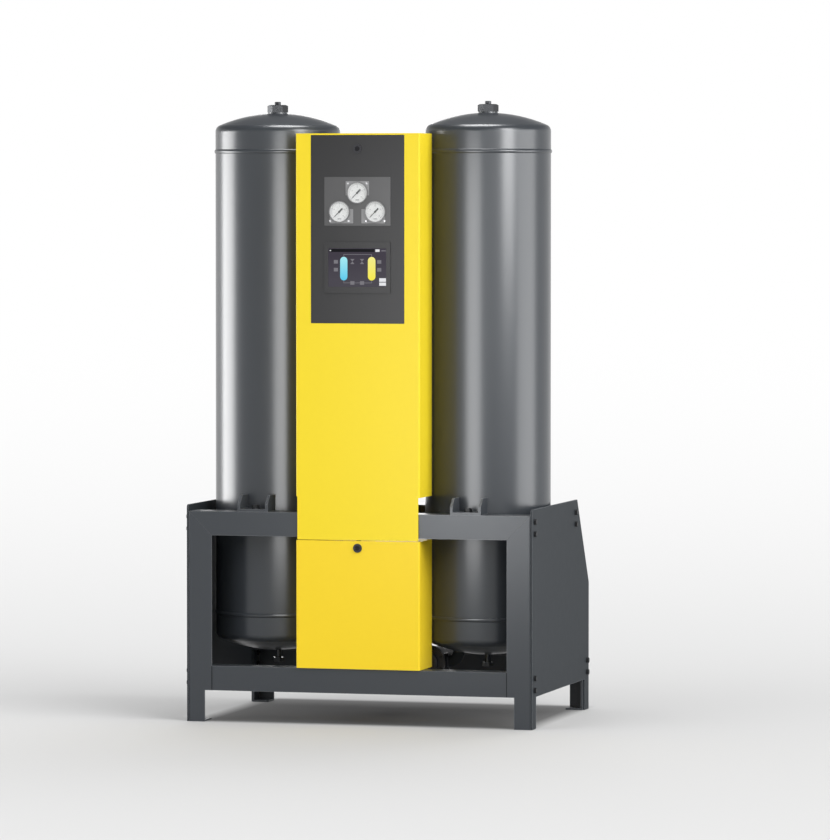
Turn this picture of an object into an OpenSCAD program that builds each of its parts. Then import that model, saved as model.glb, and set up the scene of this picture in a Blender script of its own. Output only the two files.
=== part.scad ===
// Twin-tower desiccant air dryer: two pressure vessels on a welded and bolted base,
// with a two-part sheet cover in front that carries the gauges and the display.
// Millimetres, +Z up, +Y to the rear, origin on the floor at the centre of the anchor holes.

/* [Base frame] */
// Outer width over the side plates
frame_w = 1007; // [960:1:1040]
// Front plane to rear plane
frame_d = 670; // [640:5:700]
// Height of the upper rails, where the vessel brackets stand
rail_top = 596; // [585:1:610]
// Height of the upper rails' upright flange
top_rail_h = 68; // [60:1:72]
// Depth of the upper rails' level flange
top_flange_d = 70; // [60:1:72]
// Front plane to the rear face of the rear upper rail
rear_rail_y = 528; // [520:1:545]
// Height of the lower rails
base_rail_top = 158.5; // [150:0.5:165]
// Height of the lower rails' upright flange
base_rail_h = 69.5; // [60:0.5:75]
// Depth of the lower rails' level flange
base_flange_d = 60; // [50:1:70]
// Width of the front posts above the lower rail
post_w = 68.5; // [60:0.5:75]
// Width of the front legs below the lower rail
leg_w = 47; // [40:1:55]
// Width of the rear legs
rear_leg_w = 50; // [40:1:60]
// Depth of the front posts' side flange
front_angle_d = 65; // [58:1:75]
// Depth of the rear legs' side flange
rear_angle_d = 57; // [50:1:70]
// Thickness of the folded angles
angle_t = 5; // [4:0.5:6]
// Set-back of a butt-joined rail behind its posts
joint_step = 0.6; // [0.2:0.1:1.5]
// Radius of the front posts' outer corners
post_r = 4; // [2:0.5:6]
// Top edge of the deep rear lower rail
rear_sill_top = 224; // [200:1:240]
// Clear width for the inlet pipe through the rear sill
sill_notch_w = 116; // [100:1:130]
// Thickness of the foot plates
foot_t = 5; // [4:0.5:8]
// Anchor holes in from the outer faces of the side plates
anchor_in_x = 38.5; // [30:0.5:42]
// Anchor holes in from the front and rear planes
anchor_in_y = 35; // [28:1:40]
// Anchor hole diameter
anchor_d = 14; // [10:0.5:16]

/* [Side plates] */
// Thickness of the side plates
plate_t = 5; // [3:0.5:6]
// Top edge of the side plates
plate_top = 614; // [600:1:640]
// Height at which the slanted rear edge begins
plate_slant_z = 368; // [300:1:420]
// Radius of the top front corner
plate_corner_r = 9; // [4:1:20]
// Depth of the side plates' front legs
plate_leg_front = 43; // [36:1:60]
// Depth of the side plates' rear legs
plate_leg_rear = 49; // [40:1:60]
// Thread size of the plate bolts
plate_bolt_d = 8; // [6:1:10]
// Front bolts: distance behind the front plane
front_bolt_y = 24; // [20:1:34]
// Rear bolts: distance ahead of the rear face they hold
rear_bolt_y = 24; // [20:1:34]
// Upper bolts: depth of the pair below the rail top
top_bolt_drop = 17; // [15:0.5:26]
// Lower bolts: depth of the pair below the lower rail top
base_bolt_drop = 16; // [14:0.5:26]
// Distance between the two bolts of a pair
bolt_pair = 34; // [26:1:36]

/* [Vessels] */
// Outer diameter of the vessels
vessel_od = 355.6; // [345:0.1:360]
// Wall of the vessels
vessel_t = 6; // [4:0.5:8]
// Gap from the vessels to the side plates
vessel_side_gap = 10.7; // [6:0.1:20]
// Front plane to the vessel axes
vessel_y = 253; // [250:0.5:262]
// Height of the lower girth seam
seam_low = 297; // [290:1:310]
// Height of the upper girth seam
seam_high = 1611; // [1580:1:1640]
// Straight skirt of the heads, from seam to knuckle
skirt_h = 56.5; // [45:0.5:65]
// Knuckle radius of the heads
knuckle_r = 20; // [16:0.5:30]
// Crown radius of the heads
crown_r = 420; // [380:5:440]
// Height that the weld beads stand out
bead_h = 3; // [1:0.5:4]
// Width of the weld beads
bead_w = 12; // [8:0.5:16]
// Width of the vessel brackets
bracket_w = 88; // [76:1:100]
// Height of the bracket ears
bracket_h = 45.5; // [35:0.5:60]
// Plate of the brackets
bracket_t = 7; // [5:0.5:9]
// Height of the upright front edge of an ear
ear_edge_h = 21; // [15:1:30]
// Slope of an ear, front to rear
ear_slope_d = 25; // [15:1:35]
// Bracket edge behind the rail's outer face
bracket_inset = 3; // [2:0.5:8]
// Thread size of the bracket bolts
bracket_bolt_d = 12; // [10:1:14]

/* [Vessel ports and filling] */
// Fill plug across flats
fill_af = 51; // [46:1:55]
// Height of the fill plug's hexagon
fill_h = 21; // [16:1:30]
// Turn of the fill plug's hexagon
fill_turn = 15; // [0:1:30]
// Thread diameter of the fill plug
fill_thread = 40; // [34:1:42]
// Height of the fill boss above the crown
fill_boss_h = 3; // [2:0.5:8]
// Vent plug across flats
vent_af = 16; // [13:1:19]
// Height of the vent plug's head
vent_h = 9; // [6:0.5:12]
// Drain boss diameter
drain_boss_d = 18; // [16:1:24]
// Length of the drain boss below the crown
drain_boss_h = 23; // [15:1:28]
// Drain plug across flats
drain_af = 28; // [24:1:32]
// Height of the drain plug's head
drain_h = 12; // [8:1:14]
// Thread diameter of the drain plug
drain_thread = 12; // [10:0.5:13]
// Outlet coupling diameter
coupling_d = 48; // [42:1:54]
// Length of the outlet coupling off the shell
coupling_l = 18; // [14:1:22]
// Outlet coupling below the upper seam
coupling_drop = 36; // [32:1:45]
// Bore of the vessel ports
port_bore = 27; // [22:1:28]
// Thickness of the desiccant screens
screen_t = 5; // [3:0.5:8]
// Hole diameter of the screens
screen_hole = 14; // [8:1:18]
// Pitch of the screen holes
screen_pitch = 48; // [40:1:60]

/* [Cover] */
// Width of the cover
cover_w = 360; // [350:1:364]
// Top of the upper cover
cover_top = 1660; // [1640:1:1680]
// Lower edge of the upper cover's sides
cover_side_low = 642; // [630:1:660]
// Lower edge of the tongue in front of the rail
tongue_low = 521; // [520:0.5:523]
// Tongue narrower than the cover on each side
tongue_inset = 4; // [2:0.5:8]
// Upper edge of the lower cover
lower_cover_top = 519; // [512:0.5:519]
// Cover sheet
sheet_t = 2; // [1.5:0.25:2.5]
// Bend radius of the cover sheet
bend_r = 4; // [3:0.5:6]
// Front face of the cover ahead of the frame's front plane
cover_ahead = 5; // [4:0.5:8]
// Gap from the cover's rear edge to the vessels
cover_vessel_gap = 4.7; // [3:0.1:8]
// Width of the chassis uprights
upright_w = 34; // [28:1:40]
// Depth of the chassis uprights
upright_d = 40; // [32:1:45]
// Clear width between the chassis uprights
upright_gap = 172; // [170:1:174]
// Wall of the chassis profiles
chassis_t = 3; // [2:0.5:4]
// Chassis front behind the frame's front plane
chassis_y = 10; // [8:0.5:13]
// Depth of the chassis feet on the rail
chassis_foot_d = 56; // [46:1:58]

/* [Control panel] */
// Width of the dark panel
panel_w = 271; // [240:1:290]
// Lower edge of the dark panel
panel_low = 1129; // [1100:1:1140]
// Cover strip above the dark panel
panel_margin = 5; // [4:0.5:12]
// Rim of the panel behind the cover sheet
panel_rim = 9; // [6:1:14]
// Width of the gauge plate and the display
insert_w = 192; // [180:1:210]
// Height of the gauge plate
gauge_plate_h = 136; // [130:1:150]
// Centre height of the gauge plate
gauge_plate_z = 1470; // [1462:1:1478]
// Thickness of the gauge plate
gauge_plate_t = 0.8; // [0.5:0.1:1.5]
// Outer diameter of a gauge
gauge_d = 60; // [58:1:63]
// Diameter of a dial
dial_d = 56; // [52:1:57]
// Sideways place of the lower gauges
gauge_dx = 52; // [50:1:55]
// Upper gauge above the plate's centre
gauge_up = 24; // [22:1:28]
// Lower gauges below the plate's centre
gauge_down = 29; // [27:1:33]
// Width of the gauge carrier plates
backplate_w = 68; // [64:1:72]
// Height of the gauge carrier plates
backplate_h = 40; // [36:1:44]
// Carrier plate beyond the gauge rim
backplate_edge = 2.5; // [1.5:0.5:4]
// Depth of a gauge case behind the panel
gauge_depth = 24; // [18:1:28]
// Length of a pointer's needle
needle_l = 21.5; // [16:0.5:24]
// Length of a pointer's tail
tail_l = 13; // [8:0.5:16]
// Height of the display
display_h = 143; // [136:1:150]
// Centre height of the display
display_z = 1285; // [1278:1:1292]
// Width of the screen
screen_w = 168; // [150:1:176]
// Height of the screen
screen_h = 108; // [96:1:116]
// Depth of the controller behind the panel
controller_d = 46; // [30:1:50]

/* [Locks] */
// Collar diameter of the cover locks
lock_collar_d = 25; // [22:1:30]
// Core diameter of the cover locks
lock_core_d = 14; // [12:0.5:16]
// Length of the lock tongues
lock_tongue_l = 34; // [30:1:40]
// Upper lock below the cover's top
upper_lock_drop = 43; // [40:1:46]
// Lower lock below the lower cover's top
lower_lock_drop = 20; // [16:1:24]

/* [Air piping] */
// Depth and height of the outlet block
outlet_block_s = 80; // [70:1:90]
// Check valve across flats
check_af = 50; // [44:1:56]
// Length of a check valve from the outlet block to its vessel coupling
check_l = 24; // [20:1:28]
// Length of a check valve's round collars
check_collar = 6; // [4:0.5:8]
// Outer diameter of the inlet and outlet pipes
main_pipe_d = 60.3; // [48:0.1:62]
// Wall of the inlet and outlet pipes
main_pipe_t = 3.6; // [2.5:0.1:4.5]
// Diameter of the pipe sockets
socket_d = 76; // [72:1:80]
// Threaded depth of the pipe sockets
socket_l = 40; // [30:1:50]
// Thread core diameter of the pipe sockets
socket_bore = 57; // [54:0.5:59]
// Length of the outlet pipe
outlet_pipe_l = 130; // [120:1:180]
// Length of the inlet pipe
inlet_pipe_l = 262; // [240:1:275]
// Height of the inlet pipe
inlet_z = 202; // [198:1:210]
// Depth of the inlet block
inlet_block_d = 80; // [70:1:90]
// Lower face of the inlet block
inlet_block_low = 118; // [110:1:122]
// Upper face of the inlet block
inlet_block_high = 244; // [236:1:256]
// Neck from an inlet valve's body to the inlet block
valve_block_neck = 8; // [4:0.5:12]
// Neck from an inlet valve's body to its connection pipe
valve_pipe_neck = 4; // [2:0.5:8]
// Height of the inlet valves
valve_z = 165; // [162:0.5:168]
// Body diameter of the inlet valves
valve_d = 80; // [70:1:84]
// Body length of the inlet valves
valve_l = 82; // [74:1:90]
// Bonnet diameter of the inlet valves
bonnet_d = 97; // [92:1:100]
// Bonnet thickness at its rim
bonnet_t = 12; // [8:1:16]
// Bonnet bolts in a ring
bonnet_bolts_n = 8; // [6:2:10]
// Outer diameter of the vessel connection pipes
link_d = 33.7; // [30:0.1:36]
// Bend radius of the vessel connection pipes
link_bend = 28; // [24:0.5:28]
// Connection pipe inside the vessel axis
link_offset = 85; // [80:1:88]
// Straight run of a connection pipe behind its flange
link_straight = 5; // [3:0.5:12]
// Silencer diameter
silencer_d = 58; // [48:1:60]
// Silencer length
silencer_l = 165; // [120:1:200]
// Outer diameter of the gauge tubes
tube_d = 6; // [4:0.5:8]

/* [Hidden] */
$fn = 72;

// Colours
anthracite = [0.26, 0.28, 0.31];
yellow = [0.98, 0.82, 0.08];
panel_grey = [0.25, 0.25, 0.26];
steel = [0.62, 0.63, 0.65];
alloy = [0.75, 0.76, 0.78];
black = [0.06, 0.06, 0.07];

// Small shared clearances and overcuts
eps = 0.1;
seat_gap = 0.3;
thread_gap = 0.1;
run_gap = 0.05;
bolt_play = 0.5;
tube_play = 0.3;

// Frame places
in_x = frame_w / 2 - plate_t;
post_x = in_x - post_w;
base_low = base_rail_top - base_rail_h;
anchor_x = frame_w - 2 * anchor_in_x;
anchor_y = frame_d - 2 * anchor_in_y;
vr = vessel_od / 2;
vx = in_x - vessel_side_gap - vr;
vy = fy(vessel_y);
plate_bolt_z = [rail_top - top_bolt_drop, rail_top - top_bolt_drop - bolt_pair];
base_bolt_z = [base_rail_top - base_bolt_drop, base_rail_top - base_bolt_drop - bolt_pair];
bolt_places = concat(
  [for (z = concat(plate_bolt_z, base_bolt_z)) [fy(front_bolt_y), z]],
  [for (z = plate_bolt_z) [fy(rear_rail_y - rear_bolt_y), z]],
  [for (z = base_bolt_z) [fy(frame_d - rear_bolt_y), z]]
);

// Vessel places
head_h = crown_r - sqrt(pow(crown_r - knuckle_r, 2) - pow(vr - knuckle_r, 2));
apex_high = seam_high + skirt_h + head_h;
apex_low = seam_low - skirt_h - head_h;
boss_top = apex_high + fill_boss_h;
screen_above_seam = 6;
screen_below_coupling = 12;
screen_edge = 20;
screen_low = seam_low + screen_above_seam;
screen_high = seam_high - coupling_drop - coupling_d / 2 - screen_below_coupling;
bed_r = vr - vessel_t - seat_gap;
bracket_edges = [fy(bracket_inset), fy(rear_rail_y - bracket_inset)];
bracket_bolt_in = 32;
bracket_bolt_y = [bracket_edges[0] + bracket_bolt_in, bracket_edges[1] - bracket_bolt_in];

// Piping places
outlet_z = seam_high - coupling_drop;
coupling_x = vx - vr - coupling_l;
outlet_block_x = coupling_x - check_l;
block_rear = vy + inlet_block_d / 2;
neck_d = 46;
bend_x = vx - link_offset - link_bend;
neck_end = bend_x - link_straight;
valve_x = neck_end - valve_pipe_neck - valve_d / 2;
inlet_block_x = valve_x - valve_d / 2 - valve_block_neck;
bonnet_ahead = 1;
bonnet_cap_h = 14;
bonnet_back = vy - inlet_block_d / 2 - bonnet_ahead;
bonnet_front = bonnet_back - bonnet_t;
valve_rear = bonnet_back + valve_l;
bonnet_bolt_edge = 6;
bonnet_ring_r = bonnet_d / 2 - bonnet_bolt_edge;
bonnet_bolt_d = 5;
bonnet_bolt_grip = 4;
bonnet_bolt_hole = 12;

// Cover places
cover_front = fy(-cover_ahead);
cover_valve_gap = 10;
vessel_front_at_cover = vy - sqrt(max(0, pow(vr, 2) - pow(vx - cover_w / 2, 2)));
cover_rear = min(vessel_front_at_cover - cover_vessel_gap, bonnet_front - bonnet_cap_h - cover_valve_gap);
cover_d = cover_rear - cover_front;
lower_cover_low = base_rail_top + seat_gap;
sheet_back = cover_front + sheet_t;
panel_back = sheet_back + sheet_t;
panel_high = cover_top - panel_margin;
panel_gap = 0.5;
chassis_front = fy(chassis_y);
chassis_high = cover_top - sheet_t;
upright_in = upright_gap / 2;
cross_h = 30;
cross_above_panel = 25;
pilot_low = 680;
pilot_high = 735;
pilot_d = 58;
pilot_x = 76;
pilot_front = chassis_front + chassis_t;
coil_w = 26;
coil_l = 34;
coil_pitch = 38;
coil_low = 6;
coil_drop = 8;

// Gauge and display places
insert_front = cover_front - gauge_plate_t;
gauge_places = [
  [0, gauge_plate_z + gauge_up],
  [-gauge_dx, gauge_plate_z - gauge_down],
  [gauge_dx, gauge_plate_z - gauge_down]
];
bezel_ahead = 4.2;
dial_t = 0.5;
dial_front = insert_front - 1;
lens_t = 1;
lens_front = insert_front - bezel_ahead + 0.4;
pointer_t = 0.7;
backplate_t = 0.8;
pointer_front = (dial_front + lens_front + lens_t) / 2 - pointer_t / 2;
spindle_d = 2;
spindle_l = 8;
zero_angle = 45;
stem_d = 12;
stem_l = 12;
tube_bend = 10;
tube_y = panel_back + gauge_depth + stem_l + 12 + tube_bend;
display_t = 3;
screen_pocket = 2;

// Lock places
upper_lock_z = cover_top - upper_lock_drop;
lower_lock_z = lower_cover_top - lower_lock_drop;
collar_ahead = 3;
collar_body_d = 20;
tongue_t = 3;
tongue_w = 13;

// Frame coordinate of a distance behind the frame's front plane
function fy(d) = d - frame_d / 2;

// Circumscribed radius of a hexagon from its width across flats
function hex_r(af) = af / 2 / cos(30);

// Shared shapes

module along_x() { rotate([0, 90, 0]) children(); }
module along_y() { rotate([-90, 0, 0]) children(); }

module both_sides() {
  children();
  mirror([1, 0, 0]) children();
}

module block(x0, x1, y0, y1, z0, z1) {
  translate([x0, y0, z0]) cube([x1 - x0, y1 - y0, z1 - z0]);
}

// Hexagonal bolt with its nut: washer and head above z = 0, gripping the plates below it
module hex_bolt(d, grip) {
  head_h = 0.66 * d;
  nut_h = 0.8 * d;
  washer_t = 0.2 * d;
  cylinder(d = 2 * d, h = washer_t);
  translate([0, 0, washer_t - eps]) cylinder(r = hex_r(1.62 * d), h = head_h + eps, $fn = 6);
  translate([0, 0, -grip - nut_h - 2]) cylinder(d = d, h = grip + nut_h + 2 + eps);
  translate([0, 0, -grip - nut_h]) cylinder(r = hex_r(1.62 * d), h = nut_h, $fn = 6);
}

// Rectangle on the x axis whose two front corners are rounded
module front_rounded(w, d, r) {
  translate([-w / 2, r]) square([w, d - r]);
  translate([-w / 2 + r, 0]) square([w - 2 * r, r + eps]);
  for (s = [-1, 1]) translate([s * (w / 2 - r), r]) circle(r = r);
}

// Rectangle with four rounded corners, centred
module rounded_rect(w, h, r) {
  square([w, h - 2 * r], center = true);
  square([w - 2 * r, h], center = true);
  for (x = [-1, 1], z = [-1, 1]) translate([x * (w / 2 - r), z * (h / 2 - r)]) circle(r = r);
}

// Upright plate from an outline drawn in x and z, with its front face at y
module upright_plate(y, t) {
  translate([0, y + t, 0]) rotate([90, 0, 0]) linear_extrude(t) children();
}

// Base frame

module anchor_hole(sy) {
  translate([anchor_x / 2, sy * anchor_y / 2, -eps]) cylinder(d = anchor_d, h = foot_t + 2 * eps);
}

module plate_holes(y_from, y_to) {
  for (p = bolt_places)
    if (p[0] > y_from && p[0] < y_to)
      translate([in_x - angle_t - eps, p[0], p[1]])
        along_x() cylinder(d = plate_bolt_d + bolt_play, h = angle_t + plate_t + 2 * eps);
}

module front_post() {
  difference() {
    union() {
      block(post_x, in_x, fy(0), fy(angle_t), base_low, rail_top);
      block(in_x - leg_w, in_x, fy(0), fy(angle_t), 0, base_low + eps);
      block(in_x - angle_t, in_x, fy(0), fy(front_angle_d), 0, rail_top);
      block(in_x - leg_w, in_x, fy(0), fy(front_angle_d), 0, foot_t);
    }
    anchor_hole(-1);
    plate_holes(fy(0), fy(front_angle_d));
  }
}

// Fine groove of the mitred corner weld
module mitre_groove() {
  groove = 0.8;
  run = norm([post_w, top_rail_h]);
  over = 3;
  translate([post_x, fy(0), rail_top - top_rail_h])
    rotate([0, -atan2(top_rail_h, post_w), 0])
      block(-over, run + over, -eps, groove, -groove / 2, groove / 2);
}

module bracket_bolt_holes(y) {
  for (x = [-vx, vx])
    translate([x, y, rail_top - angle_t - eps])
      cylinder(d = bracket_bolt_d + bolt_play, h = angle_t + 2 * eps);
}

module front_frame() {
  color(anthracite) difference() {
    intersection() {
      union() {
        both_sides() front_post();
        block(-in_x, in_x, fy(0), fy(angle_t), rail_top - top_rail_h, rail_top);
        block(-in_x, in_x, fy(0), fy(top_flange_d), rail_top - angle_t, rail_top);
        block(-post_x, post_x, fy(joint_step), fy(joint_step + angle_t), base_low, base_rail_top);
        block(-in_x, in_x, fy(joint_step), fy(base_flange_d), base_rail_top - angle_t, base_rail_top);
      }
      translate([0, fy(0), 0]) linear_extrude(rail_top) front_rounded(2 * in_x, rear_rail_y, post_r);
    }
    both_sides() mitre_groove();
    bracket_bolt_holes(bracket_bolt_y[0]);
  }
}

module rear_top_rail() {
  rear = fy(rear_rail_y);
  end_d = front_angle_d;
  color(anthracite) difference() {
    union() {
      block(-in_x, in_x, rear - angle_t, rear, rail_top - top_rail_h, rail_top);
      block(-in_x, in_x, rear - top_flange_d, rear, rail_top - angle_t, rail_top);
      both_sides() block(in_x - angle_t, in_x, rear - end_d, rear, rail_top - top_rail_h, rail_top);
    }
    both_sides() plate_holes(rear - end_d, rear);
    bracket_bolt_holes(bracket_bolt_y[1]);
  }
}

module rear_base() {
  rear = fy(frame_d);
  rail_rear = rear - joint_step;
  color(anthracite) difference() {
    union() {
      both_sides() {
        block(in_x - rear_leg_w, in_x, rear - angle_t, rear, 0, base_rail_top);
        block(in_x - angle_t, in_x, rear - rear_angle_d, rear, 0, base_rail_top);
        block(in_x - rear_leg_w, in_x, rear - rear_angle_d, rear, 0, foot_t);
        block(sill_notch_w / 2, in_x, rail_rear - angle_t, rail_rear, base_rail_top - eps, rear_sill_top);
      }
      block(-in_x, in_x, rail_rear - angle_t, rail_rear, base_low, base_rail_top);
      block(-in_x, in_x, rear - base_flange_d, rail_rear, base_rail_top - angle_t, base_rail_top);
    }
    both_sides() {
      anchor_hole(1);
      plate_holes(rear - rear_angle_d, rear);
    }
  }
}

module side_plate_outline() {
  difference() {
    union() {
      polygon([
        [fy(0), 0],
        [fy(plate_leg_front), 0],
        [fy(plate_leg_front), base_low],
        [fy(frame_d - plate_leg_rear), base_low],
        [fy(frame_d - plate_leg_rear), 0],
        [fy(frame_d), 0],
        [fy(frame_d), plate_slant_z],
        [fy(rear_rail_y), plate_top],
        [fy(plate_corner_r), plate_top],
        [fy(0), plate_top - plate_corner_r]
      ]);
      translate([fy(plate_corner_r), plate_top - plate_corner_r]) circle(r = plate_corner_r);
    }
    for (p = bolt_places) translate(p) circle(d = plate_bolt_d + bolt_play);
  }
}

// Outline drawn in y and z, standing on the outside of the frame
module side_plate() {
  color(anthracite)
    translate([in_x, 0, 0]) rotate([90, 0, 90]) linear_extrude(plate_t) side_plate_outline();
}

module right_side_plate() { side_plate(); }
module left_side_plate() { mirror([1, 0, 0]) side_plate(); }

module side_plate_bolts() {
  color(anthracite) both_sides()
    for (p = bolt_places)
      translate([in_x + plate_t, p[0], p[1]])
        along_x() hex_bolt(plate_bolt_d, plate_t + angle_t);
}

// Vessels

// Half section of a dished head above its tangent line: crown arc, knuckle arc
module head_section(cr, kr, r) {
  crown_z = -sqrt(pow(cr - kr, 2) - pow(r - kr, 2));
  reach = 2 * r;
  lean = atan2(-crown_z, r - kr);
  intersection() {
    translate([0, crown_z]) circle(r = cr, $fn = 180);
    polygon([
      [0, 0],
      [r - kr, 0],
      [r - kr + reach * cos(lean), reach * sin(lean)],
      [0, reach * sin(lean)]
    ]);
  }
  intersection() {
    translate([r - kr, 0]) circle(r = kr);
    translate([0, 0]) square([r, kr]);
  }
}

// Half section of the closed vessel at a distance inside its outer surface
module vessel_section(inset) {
  r = vr - inset;
  translate([0, seam_low - skirt_h]) square([r, seam_high - seam_low + 2 * skirt_h]);
  translate([0, seam_high + skirt_h]) head_section(crown_r - inset, knuckle_r - inset, r);
  translate([0, seam_low - skirt_h]) mirror([0, 1]) head_section(crown_r - inset, knuckle_r - inset, r);
}

// Rounded girth weld bead in half section
module bead_section(z) {
  bead_r = (pow(bead_w / 2, 2) + pow(bead_h, 2)) / (2 * bead_h);
  translate([vr + bead_h - bead_r, z]) intersection() {
    circle(r = bead_r);
    translate([0, -bead_w / 2]) square([bead_r, bead_w]);
  }
}

// Vessel about its own axis, with its couplings on the +x side
module vessel_shell() {
  difference() {
    union() {
      difference() {
        union() {
          rotate_extrude($fn = 144) {
            vessel_section(0);
            bead_section(seam_low);
            bead_section(seam_high);
          }
          translate([0, 0, apex_high - vessel_t]) cylinder(d = fill_af + 4, h = vessel_t + fill_boss_h);
          translate([0, 0, apex_low - drain_boss_h])
            cylinder(d = drain_boss_d, h = drain_boss_h + vessel_t);
          translate([0, 0, outlet_z]) along_x() cylinder(d = coupling_d, h = vr + coupling_l);
          translate([link_offset, 0, valve_z + link_bend]) cylinder(d = link_d, h = vessel_t * 5);
        }
        rotate_extrude($fn = 144) vessel_section(vessel_t);
      }
    }
    translate([0, 0, apex_high - 4 * vessel_t]) cylinder(d = fill_thread, h = 6 * vessel_t);
    translate([0, 0, apex_low - drain_boss_h - eps])
      cylinder(d = drain_thread, h = drain_boss_h + 4 * vessel_t);
    translate([vr - 4 * vessel_t, 0, outlet_z])
      along_x() cylinder(d = port_bore, h = 4 * vessel_t + coupling_l + eps);
    translate([link_offset, 0, valve_z + link_bend - eps]) cylinder(d = port_bore, h = vessel_t * 8);
  }
}

module left_vessel() { color(anthracite) translate([-vx, vy, 0]) vessel_shell(); }
module right_vessel() { color(anthracite) mirror([1, 0, 0]) left_vessel(); }

// Bent bracket from its outer edge to the vessel shell, for an edge ahead of the vessel
module bracket(edge_y) {
  reach = vy - edge_y;
  difference() {
    translate([-bracket_w / 2, edge_y, rail_top]) rotate([90, 0, 90]) difference() {
      linear_extrude(bracket_w) polygon([
        [0, 0],
        [0, ear_edge_h],
        [ear_slope_d, bracket_h],
        [reach, bracket_h],
        [reach, 0]
      ]);
      translate([-eps, bracket_t, bracket_t])
        cube([reach + 2 * eps, bracket_h, bracket_w - 2 * bracket_t]);
    }
    translate([0, vy, rail_top - eps]) cylinder(r = vr + eps, h = bracket_h + 2 * eps, $fn = 144);
    translate([0, edge_y + bracket_bolt_in, rail_top - eps])
      cylinder(d = bracket_bolt_d + bolt_play, h = bracket_t + 2 * eps);
  }
}

module bracket_pair() {
  bracket(bracket_edges[0]);
  translate([0, 2 * vy, 0]) mirror([0, 1, 0]) bracket(2 * vy - bracket_edges[1]);
}

module left_vessel_brackets() { color(anthracite) translate([-vx, 0, 0]) bracket_pair(); }
module right_vessel_brackets() { color(anthracite) translate([vx, 0, 0]) bracket_pair(); }

module bracket_bolts() {
  color(steel)
    for (x = [-vx, vx], y = bracket_bolt_y)
      translate([x, y, rail_top + bracket_t]) hex_bolt(bracket_bolt_d, bracket_t + angle_t);
}

module desiccant_bed() {
  translate([0, vy, screen_low + screen_t])
    cylinder(r = bed_r, h = screen_high - screen_low - screen_t, $fn = 144);
}

module left_desiccant_bed() { color("ivory") translate([-vx, 0, 0]) desiccant_bed(); }
module right_desiccant_bed() { color("ivory") translate([vx, 0, 0]) desiccant_bed(); }

// Perforated support screen across a vessel
module screen(z) {
  reach = bed_r - screen_edge - screen_hole / 2;
  n = floor(reach / screen_pitch);
  translate([0, vy, z]) difference() {
    cylinder(r = bed_r, h = screen_t, $fn = 144);
    for (i = [-n:n], j = [-n:n])
      if (norm([i, j]) * screen_pitch <= reach)
        translate([i * screen_pitch, j * screen_pitch, -eps])
          cylinder(d = screen_hole, h = screen_t + 2 * eps, $fn = 24);
  }
}

module lower_screens() { color(steel) for (x = [-vx, vx]) translate([x, 0, 0]) screen(screen_low); }
module upper_screens() { color(steel) for (x = [-vx, vx]) translate([x, 0, 0]) screen(screen_high); }

// Chamfered hexagon head with a threaded shank below it
module hex_plug(af, h, thread, shank_l, chamfer) {
  r = hex_r(af);
  intersection() {
    cylinder(r = r, h = h, $fn = 6);
    union() {
      cylinder(r = r + eps, h = h - chamfer);
      translate([0, 0, h - chamfer]) cylinder(r1 = r + eps, r2 = r - 1.7 * chamfer, h = chamfer);
    }
  }
  translate([0, 0, -shank_l]) cylinder(d = thread - 2 * thread_gap, h = shank_l + eps);
}

vent_thread = vent_af * 0.6;

module fill_plug() {
  translate([0, vy, boss_top]) rotate(fill_turn) difference() {
    hex_plug(fill_af, fill_h, fill_thread, 2.5 * vessel_t, 3);
    translate([0, 0, fill_h - vent_h]) cylinder(d = vent_thread, h = vent_h + eps);
  }
}

module left_fill_plug() { color(anthracite) translate([-vx, 0, 0]) fill_plug(); }
module right_fill_plug() { color(anthracite) translate([vx, 0, 0]) fill_plug(); }

module vent_plugs() {
  color(anthracite)
    for (x = [-vx, vx])
      translate([x, vy, boss_top + fill_h]) hex_plug(vent_af, vent_h, vent_thread, vent_h - 1, 1.2);
}

module drain_plugs() {
  color(anthracite)
    for (x = [-vx, vx])
      translate([x, vy, apex_low - drain_boss_h])
        mirror([0, 0, 1]) hex_plug(drain_af, drain_h, drain_thread, drain_boss_h, 1.5);
}

// Cover and its chassis

module chassis_upright() {
  x1 = upright_in + upright_w;
  foot_side = 6;
  difference() {
    block(upright_in, x1, chassis_front, chassis_front + upright_d, rail_top, chassis_high);
    block(
      upright_in + chassis_t, x1 + eps,
      chassis_front + chassis_t, chassis_front + upright_d - chassis_t,
      rail_top + foot_t, chassis_high - chassis_t
    );
  }
  block(
    upright_in - foot_side, x1 + foot_side,
    chassis_front, chassis_front + chassis_foot_d, rail_top, rail_top + foot_t
  );
}

module cover_chassis() {
  color(steel) {
    both_sides() chassis_upright();
    for (z = [pilot_low + coil_low, panel_low + cross_above_panel, chassis_high - cross_h])
      block(
        -upright_in - eps, upright_in + eps,
        chassis_front, chassis_front + chassis_t, z, z + cross_h
      );
  }
}

// Folded cover open to the rear and below, closed on top
module folded_cover(z0, z1) {
  translate([0, cover_front, z0]) linear_extrude(z1 - z0) difference() {
    front_rounded(cover_w, cover_d, bend_r);
    translate([0, sheet_t]) front_rounded(cover_w - 2 * sheet_t, cover_d, bend_r - sheet_t);
  }
  translate([0, cover_front, z1 - sheet_t]) linear_extrude(sheet_t)
    front_rounded(cover_w, cover_d, bend_r);
}

module upper_cover() {
  tongue_x = cover_w / 2 - tongue_inset;
  panel_x = panel_w / 2 + panel_gap;
  color(yellow) difference() {
    union() {
      folded_cover(cover_side_low, cover_top);
      block(-tongue_x, tongue_x, cover_front, sheet_back, tongue_low, cover_side_low + eps);
    }
    block(
      -panel_x, panel_x, cover_front - eps, sheet_back + eps,
      panel_low - panel_gap, panel_high + panel_gap
    );
  }
}

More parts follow.
